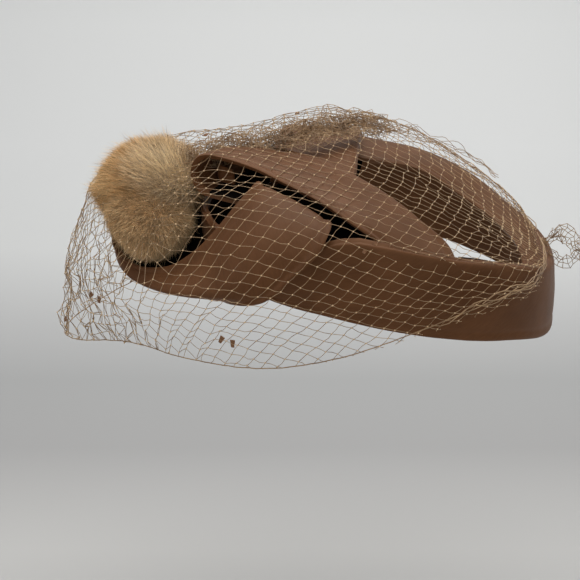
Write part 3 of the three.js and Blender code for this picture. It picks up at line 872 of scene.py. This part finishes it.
thread = new_material("golden_net_thread")
thread_noise = node(thread, "ShaderNodeTexNoise", Vector=place_on(thread), Scale=110.0, Detail=2.0)
thread_tone = ramp(thread, thread_noise.outputs["Fac"], [
    (0.25, (0.21, 0.115, 0.048)), (0.55, (0.40, 0.245, 0.115)), (0.8, (0.58, 0.39, 0.20))])
twist = node(thread, "ShaderNodeTexWave", Vector=place_on(thread), Scale=700.0)
twist_bump = node(thread, "ShaderNodeBump", Height=twist.outputs["Fac"], Strength=0.3,
                  Distance=0.00008)
# Painted highlight: the knots are painted paler than the thread, a painted glint where they catch the
# light.
knot_painted_glint = mixed(thread, attribute(thread, "tied"), thread_tone, (0.80, 0.58, 0.33, 1))
finish(thread, Base_Color=knot_painted_glint, Normal=twist_bump.outputs["Normal"], Roughness=0.45,
       Sheen_Weight=0.2)

knot_bead = bmesh.new()
bmesh.ops.create_icosphere(knot_bead, subdivisions=1, radius=1)
bead_mesh = bpy.data.meshes.new("knot_bead")
knot_bead.to_mesh(bead_mesh)
knot_bead.free()
bead_mesh.materials.append(thread)
bead = bpy.data.objects.new("knot_bead", bead_mesh)


LEAST_KNOT = 0.1  # a wire's "knot" value, over which a knot is tied there


def spun(name, lines, half, sides, bead_size=0.0):
    """Thread spun round every line of a wire, with a knot where the wire asks for one."""
    mesh = bpy.data.meshes.new(name)
    bmesh.ops.scale(lines, vec=(MM, MM, MM), verts=lines.verts)
    lines.to_mesh(mesh)
    lines.free()
    piece = bpy.data.objects.new(name, mesh)
    scene.collection.objects.link(piece)
    work, wire_in, thread_out = shape_group(name)
    line = node(work, "GeometryNodeMeshToCurve", Mesh=wire_in)
    section = node(work, "GeometryNodeCurvePrimitiveCircle", Resolution=sides, Radius=half * MM)
    wrap = node(work, "GeometryNodeCurveToMesh", Curve=line.outputs["Curve"],
                Profile_Curve=section.outputs["Curve"], Fill_Caps=True)
    together = node(work, "GeometryNodeJoinGeometry", Geometry=wrap.outputs["Mesh"])
    if bead_size:
        size = node(work, "GeometryNodeInputNamedAttribute", Name="knot").outputs["Attribute"]
        real = node(work, "FunctionNodeCompare")
        connect(work, real.inputs[0], size)
        real.inputs[1].default_value = LEAST_KNOT
        scale = node(work, "ShaderNodeMath")
        scale.operation = "MULTIPLY"
        connect(work, scale.inputs[0], size)
        scale.inputs[1].default_value = bead_size * MM
        shape = node(work, "GeometryNodeObjectInfo", Object=bead)
        tie = node(work, "GeometryNodeInstanceOnPoints", Points=wire_in,
                   Selection=real.outputs["Result"], Instance=shape.outputs["Geometry"],
                   Scale=scale.outputs["Value"])
        mark = node(work, "GeometryNodeStoreNamedAttribute", Geometry=tie.outputs["Instances"],
                    Name="tied", Value=1.0)
        mark.domain = "INSTANCE"
        realize = node(work, "GeometryNodeRealizeInstances", Geometry=mark.outputs["Geometry"])
        connect(work, together.inputs[0], realize.outputs["Geometry"])
    connect(work, thread_out, together.outputs["Geometry"])
    piece.modifiers.new("thread", "NODES").node_group = work
    made = settled(piece)
    made.materials.clear()
    made.materials.append(thread)
    made.shade_smooth()
    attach(piece, "root")
    return piece


knots = KDTree(len(net.verts))
for count, vert in enumerate(net.verts):
    knots.insert(vert.co, count)
knots.balance()
veil = spun("veil_net", net, THREAD, 4, bead_size=0.45)
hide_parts("veil")


def add_line(lines, places):
    """A run of thread through a list of places."""
    ends = [lines.verts.new(place) for place in places]
    for a, b in zip(ends, ends[1:]):
        lines.edges.new((a, b))
    return ends


# The lower edge is bound with a thread. At the left back, loose ends of the net run beside it
# up to the gather.
binding = bmesh.new()
random.seed(11)
edge_run = [veil_place(bearing, 1.0) for bearing in range(0, 360, 2)]
add_line(binding, [place + drift(place * 0.3, (9, 0, 0)) * 0.4 for place in edge_run])
for strand in range(4):
    sway = random.uniform(0, 9)
    add_line(binding, [
        veil_place(bearing, 1 - 0.012 * strand * min(1, bearing / 14)
                   + 0.016 * math.sin(bearing * 0.55 + sway) * min(1, bearing / 10))
        + Vector((0.4 * strand, 0, 0)) for bearing in range(4, 58 - 6 * strand, 2)])
bound = spun("veil_binding", binding, 0.26, 5)
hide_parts("veil")

# A slack fold of the net lies along the top, from the pompom over the straps and down the right
# side of the rim to the gather.
FOLD_PATH = [
    # place seen from above, half width
    (8, -94, 5), (5, -74, 7), (1, -52, 7), (-8, -32, 8), (-26, -10, 8), (-42, 12, 7), (-50, 34, 6),
    (-45, 56, 5), (-33, 73, 4), (-18, 87, 3), (2, 96, 2),
]


def fold_place(share, rise=0.5):
    """A place on the path of the fold, lying on the net."""
    x, y, half = along_rows(FOLD_PATH, share)
    beside = knots.find_n(Vector((x, y, 60)), 5)
    return Vector((x, y, sum(place.z for place, _, _ in beside) / 5 + rise)), half


fold = bmesh.new()
fold_knot = fold.verts.layers.float.new("knot")
for layer in range(5):
    fresh = bmesh.ops.create_grid(fold, x_segments=46, y_segments=6, size=1)["verts"]
    for vert in fresh:
        share, across = 0.5 * (vert.co.x + 1) / 2 + 0.03 * (layer % 2), vert.co.y
        middle, half = fold_place(share)
        ahead = fold_place(share + 0.05)[0] - fold_place(share - 0.05)[0]
        beside = ahead.cross(Vector((0.6, 0, 0.8))).normalized()
        above = beside.cross(ahead).normalized()
        wander = drift(Vector((share * 22, across * 1.6, layer * 13.0)), (0, 0, 5))
        vert.co = (middle + beside * across * half + above * (wander.x * 4 + layer * 0.7 - 0.5)
                   + beside * wander.y * 7 + ahead.normalized() * wander.z * 4)
        vert[fold_knot] = 0.3
bmesh.ops.delete(fold, geom=fold.faces[:], context="FACES_ONLY")
random.seed(31)
for strand in range(30):
    offset, begin = random.uniform(-0.9, 0.9), random.uniform(0, 0.35)
    stop = random.uniform(0.4, 0.6) if strand % 6 else 0.82
    places = []
    for k in range(61):
        place, half = fold_place(begin + (stop - begin) * k / 60)
        sway = drift(Vector((k * 0.16, strand * 5.0, 0)), (0, 0, 11))
        places.append(place + sway * half + Vector((offset * half * math.sin(math.pi * k / 60), 0, 0)))
    add_line(fold, places)
fold_net = spun("veil_fold", fold, 0.16, 4, bead_size=0.45)
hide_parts("veil")


# ------------------------------------------------------------------ gather
# The veil is tied in a knot at the back of the rim. Its loose tails are two short strips of
# net: one flares up and then droops behind, and one hangs down in a loop.
TAILS = [
    # rows of place and half width, how many meshes long, how many wide
    ([(9, 99, 14.5, 1.2), (9.5, 103.5, 18, 2.5), (9, 108, 20.5, 5.5), (10, 112.5, 18, 4.5),
      (9, 116.5, 12, 4), (8, 121, 6, 3.5), (8, 123, 0, 2)], 16, 5),
    ([(9, 100, 13, 1), (11, 104, 8, 2), (10, 109, 4, 3), (8, 114, 5.5, 3), (7, 118, 10, 2),
      (8, 116, 15, 1.5)], 12, 3),
]
tails = bmesh.new()
for count, (rows, long, wide) in enumerate(TAILS):
    fresh = bmesh.ops.create_grid(tails, x_segments=long, y_segments=wide, size=1)["verts"]
    for vert in fresh:
        share, across = (vert.co.x + 1) / 2, vert.co.y
        x, y, z, half = along_rows(rows, share)
        before, after = (Vector(along_rows(rows, share + step)[:3]) for step in (-0.04, 0.04))
        beside = Vector((1, 0, 0)).cross(after - before).normalized() + Vector((0.5 * across, 0, 0))
        stir = drift(Vector((share * 9, across * 3, count * 7.0)), (0, 0, 4))
        vert.co = Vector((x, y, z)) + beside * across * half + stir * min(2.6, half)
bmesh.ops.delete(tails, geom=tails.faces[:], context="FACES_ONLY")
random.seed(23)
for strand in range(9):
    aim = Vector((random.uniform(-0.3, 0.3), random.uniform(0.1, 0.9),
                  random.uniform(-0.2, 1))).normalized()
    reach = random.uniform(5, 11)
    add_line(tails, [
        GATHER + Vector((0, 4, 2)) + aim * reach * k / 5
        + drift(Vector((strand * 3.1, k * 0.9, 0)), (0, 0, 7)) * 0.6 * k
        for k in range(6)])
angles = [math.pi * k / 8 for k in range(17)]
for turn in range(6):  # the thread that ties the gather
    back = 0.7 * turn - 1.2
    add_line(tails, [GATHER + Vector((2.6 * math.cos(angle), back + 0.5 * math.sin(2 * angle + turn),
                                      2.1 * math.sin(angle))) for angle in angles])
gather = spun("veil_tails", tails, 0.17, 4)
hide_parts("veil_gather")
drape.free()


# ------------------------------------------------------------------ woven tabs
# Pairs of small brown cloth tabs are left in the net where it was cut from the loom. Each is a
# short strip, a little curled and wider at one end, held at the nearest knot.
TABS = [
    # bearing, share of the way down, how far it is turned
    (110, 0.94, 0.0), (114, 0.94, 0.5), (155, 0.86, 0.2), (158, 0.86, 0.7), (173, 0.95, 0.9),
    (69, 0.70, 0.1), (72, 0.70, 0.6), (332, 0.62, 0.3), (262, 0.42, 0.2), (214, 0.34, 0.8),
]
tabs = bmesh.new()
for bearing, v, turn in TABS:
    middle = veil_place(bearing, v)
    down = (veil_place(bearing, v + 0.01) - middle).normalized()
    outward = down.cross(veil_place(bearing + 1, v) - middle).normalized()
    facing = outward.to_track_quat("Z", "Y").to_matrix().to_4x4()
    seat = Matrix.Translation(knots.find(middle)[0] + outward * 0.3) @ facing
    fresh = bmesh.ops.create_grid(tabs, x_segments=2, y_segments=3, size=1)["verts"]
    for vert in fresh:
        x, y = vert.co.x * (1.0 + 0.25 * vert.co.y), vert.co.y * 1.9
        vert.co = seat @ (Matrix.Rotation(turn, 3, "Z") @ Vector((x, y, 0.35 * math.sin(y * 1.3))))
bmesh.ops.recalc_face_normals(tabs, faces=tabs.faces)
bmesh.ops.scale(tabs, vec=(MM, MM, MM), verts=tabs.verts)
tab_mesh = bpy.data.meshes.new("veil_tabs")
tabs.to_mesh(tab_mesh)
tabs.free()
tab_cloth = new_material("brown_tab_cloth")
tab_weave = node(tab_cloth, "ShaderNodeTexNoise", Vector=place_on(tab_cloth), Scale=1500.0)
tab_tone = ramp(tab_cloth, tab_weave.outputs["Fac"], [
    (0.3, (0.17, 0.075, 0.03)), (0.7, (0.34, 0.17, 0.08))])
finish(tab_cloth, Base_Color=tab_tone, Roughness=0.7)
tab_mesh.materials.append(tab_cloth)
tab = bpy.data.objects.new("veil_tabs", tab_mesh)
scene.collection.objects.link(tab)
tab_wall = tab.modifiers.new("cloth", "SOLIDIFY")
tab_wall.thickness, tab_wall.offset = 0.4 * MM, 0
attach(tab, "root")
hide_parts("veil")
